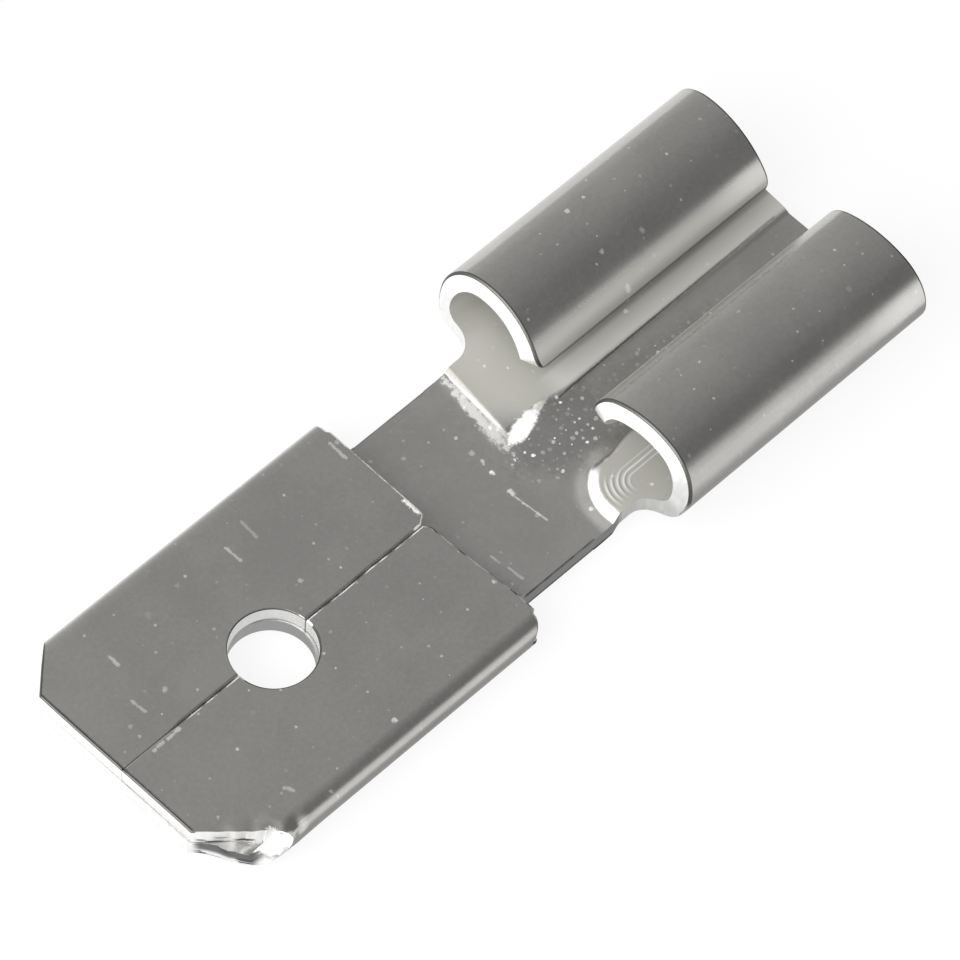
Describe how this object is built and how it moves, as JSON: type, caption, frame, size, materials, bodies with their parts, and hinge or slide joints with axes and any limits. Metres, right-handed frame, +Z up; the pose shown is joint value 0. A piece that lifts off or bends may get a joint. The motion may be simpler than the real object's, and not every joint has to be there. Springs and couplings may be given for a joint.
{
  "type": "in-line spade terminal, male tab to female receptacle",
  "caption": "Flat sheet-metal spade terminal: a folded male blade with a round hole at one end, a curled female push-on receptacle at the other.",
  "frame": {"origin": "middle of the male tab's tip, on the flat underside of the sheet", "axes": "+X along the terminal from the male tab's tip to the receptacle's mouth, +Y across it, +Z up, towards the leaves and the rolls"},
  "size_m": [0.0186, 0.0068, 0.0021],
  "materials": {
    "tinned_brass": "matt tin plate over brass sheet"
  },
  "bodies": {
    "root": {"terminal": "tinned_brass"}
  },
  "joints": []
}
